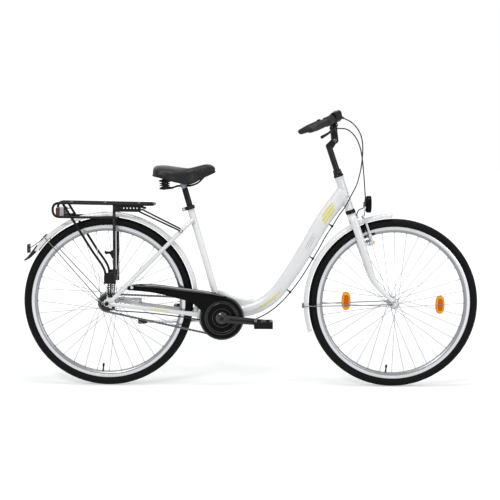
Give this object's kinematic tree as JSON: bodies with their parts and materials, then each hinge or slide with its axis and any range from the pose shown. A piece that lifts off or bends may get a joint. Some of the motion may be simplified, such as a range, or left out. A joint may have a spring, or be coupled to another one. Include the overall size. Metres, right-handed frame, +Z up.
{
  "type": "step-through city bicycle",
  "caption": "Step-through city bicycle with curved main tube, mudguards, rear carrier, chain guard, sprung saddle, adjustable stem, rim brake, lights and kickstand.",
  "frame": {"origin": "on the ground, midway between the two wheels' contact points", "axes": "+X forward, +Y to the rider's left, +Z up"},
  "size_m": [1.874, 0.67, 1.1358],
  "materials": {
    "white_paint": "gloss",
    "black_paint": "gloss",
    "black_plastic": "satin",
    "guard_plastic": "gloss",
    "black_rubber": "matte",
    "tyre_rubber": "matte",
    "steel": "satin",
    "alloy": "satin",
    "vinyl": "satin",
    "amber_lens": "gloss",
    "red_lens": "gloss"
  },
  "bodies": {
    "frame": {"main_tube": "white_paint", "seat_tube": "white_paint", "rear_stays_right": "white_paint", "rear_stays_left": "white_paint", "headset_upper_cup": "black_paint", "headset_lower_cup": "black_paint", "seat_clamp": "black_paint", "chain_guard": "guard_plastic", "rear_mudguard": "white_paint", "mud_flap": "black_rubber", "rear_reflector": "red_lens", "rear_mudguard_stay": "steel", "rack_frame": "black_paint", "rack_stay": "black_paint", "rear_light": "red_lens", "rear_axle": "steel", "kickstand_bracket": "steel", "shift_cable": "black_plastic", "chain": "steel"},
    "side_stand": {"kickstand": "steel"},
    "rear_wheel": {"rear_tyre": "tyre_rubber", "rear_rim": "alloy", "rear_hub_shell": "alloy", "rear_spokes": "steel"},
    "sprocket": {"rear_sprocket": "steel"},
    "crankset": {"crank_spindle": "steel", "crank_arm_right": "black_paint", "crank_arm_left": "black_paint", "chainring": "black_paint"},
    "right_pedal": {"pedal_right": "black_plastic"},
    "left_pedal": {"pedal_left": "black_plastic"},
    "seat_pillar": {"seatpost": "black_paint"},
    "saddle": {"saddle_cover": "vinyl", "saddle_rails": "black_paint", "saddle_spring_right": "black_paint", "saddle_spring_left": "black_paint", "saddle_clamp": "steel"},
    "front_fork": {"fork": "white_paint", "front_axle": "steel", "front_mudguard": "white_paint", "front_mudguard_stay": "steel", "headlight": "black_plastic", "brake_cable": "black_plastic"},
    "front_wheel": {"front_tyre": "tyre_rubber", "front_rim": "alloy", "front_hub_shell": "alloy", "front_spokes": "steel", "front_reflector_front": "amber_lens", "front_reflector_rear": "amber_lens"},
    "quill": {"stem_quill": "black_paint"},
    "stem": {"stem_arm": "black_paint"},
    "bar": {"handlebar": "black_paint", "grip_right": "black_rubber", "grip_left": "black_rubber", "shift_brake_housing": "black_plastic", "bell": "alloy"},
    "shifter": {"twist_grip": "black_rubber"},
    "lever": {"brake_lever": "black_plastic"},
    "right_brake": {"brake_arm_right": "steel"},
    "left_brake": {"brake_arm_left": "steel"}
  },
  "joints": [
    {"name": "steering", "type": "hinge", "parent": "frame", "child": "front_fork", "pos_m": [0.54072, 0, 0.33272], "axis": [-0.3256, 0, 0.9455], "range_deg": [-60, 60], "deforming": ["shift_cable"]},
    {"name": "front_wheel_spin", "type": "hinge", "parent": "front_fork", "child": "front_wheel", "pos_m": [0.588, 0, 0.349], "axis": [0, 1, 0], "continuous": true},
    {"name": "rear_wheel_spin", "type": "hinge", "parent": "frame", "child": "rear_wheel", "pos_m": [-0.588, 0, 0.349], "axis": [0, 1, 0], "continuous": true},
    {"name": "crank_spin", "type": "hinge", "parent": "frame", "child": "crankset", "pos_m": [-0.12, 0, 0.29], "axis": [0, 1, 0], "continuous": true},
    {"name": "sprocket_spin", "type": "hinge", "parent": "frame", "child": "sprocket", "pos_m": [-0.588, 0, 0.349], "axis": [0, 1, 0], "continuous": true},
    {"name": "right_pedal_spin", "type": "hinge", "parent": "crankset", "child": "right_pedal", "pos_m": [0.04935, 0, 0.27518], "axis": [0, 1, 0], "continuous": true},
    {"name": "left_pedal_spin", "type": "hinge", "parent": "crankset", "child": "left_pedal", "pos_m": [-0.28935, 0, 0.30482], "axis": [0, 1, 0], "continuous": true},
    {"name": "seat_height", "type": "slide", "parent": "frame", "child": "seat_pillar", "axis": [-0.2823, 0, 0.9593], "range_m": [-0.06, 0.06]},
    {"name": "saddle_tilt", "type": "hinge", "parent": "seat_pillar", "child": "saddle", "pos_m": [-0.27924, 0, 0.831], "axis": [0, 1, 0], "range_deg": [-8, 8]},
    {"name": "stem_height", "type": "slide", "parent": "front_fork", "child": "quill", "axis": [-0.3256, 0, 0.9455], "range_m": [-0.04, 0.02], "deforming": ["brake_cable", "shift_cable"]},
    {"name": "stem_angle", "type": "hinge", "parent": "quill", "child": "stem", "pos_m": [0.33696, 0, 1.01664], "axis": [0, 1, 0], "range_deg": [-10, 50], "deforming": ["brake_cable", "shift_cable"]},
    {"name": "handlebar_roll", "type": "hinge", "parent": "stem", "child": "bar", "pos_m": [0.328, 0, 1.1], "axis": [0, 1, 0], "range_deg": [-15, 15], "deforming": ["brake_cable", "shift_cable"]},
    {"name": "twist_shift", "type": "hinge", "parent": "bar", "child": "shifter", "pos_m": [0.216, -0.322, 1.055], "axis": [0.5918, 0.7575, 0.2756], "range_deg": [-35, 35], "deforming": ["shift_cable"]},
    {"name": "brake_lever_pull", "type": "hinge", "parent": "bar", "child": "lever", "pos_m": [0.32155, -0.19423, 1.07587], "axis": [-0.7466, 0.644, -0.1669], "range_deg": [0, 11], "stiffness_Nm_per_rad": 0.8, "springref_deg": -17.19, "deforming": ["brake_cable"]},
    {"name": "right_brake_close", "type": "hinge", "parent": "front_fork", "child": "right_brake", "pos_m": [0.48119, -0.04, 0.59778], "axis": [-0.9455, 0, -0.3256], "range_deg": [0, 2.2]},
    {"name": "left_brake_close", "type": "hinge", "parent": "front_fork", "child": "left_brake", "pos_m": [0.48119, 0.04, 0.59778], "axis": [0.9455, 0, 0.3256], "range_deg": [0, 2.2]},
    {"name": "kickstand_fold", "type": "hinge", "parent": "frame", "child": "side_stand", "pos_m": [-0.205, 0.052, 0.262], "axis": [0, -0.9588, -0.284], "range_deg": [0, 94]}
  ],
  "couplings": [
    {"joint": "sprocket_spin", "follows": "crank_spin", "ratio": 2.1111},
    {"joint": "right_brake_close", "follows": "brake_lever_pull", "ratio": 0.2},
    {"joint": "left_brake_close", "follows": "brake_lever_pull", "ratio": 0.2}
  ]
}
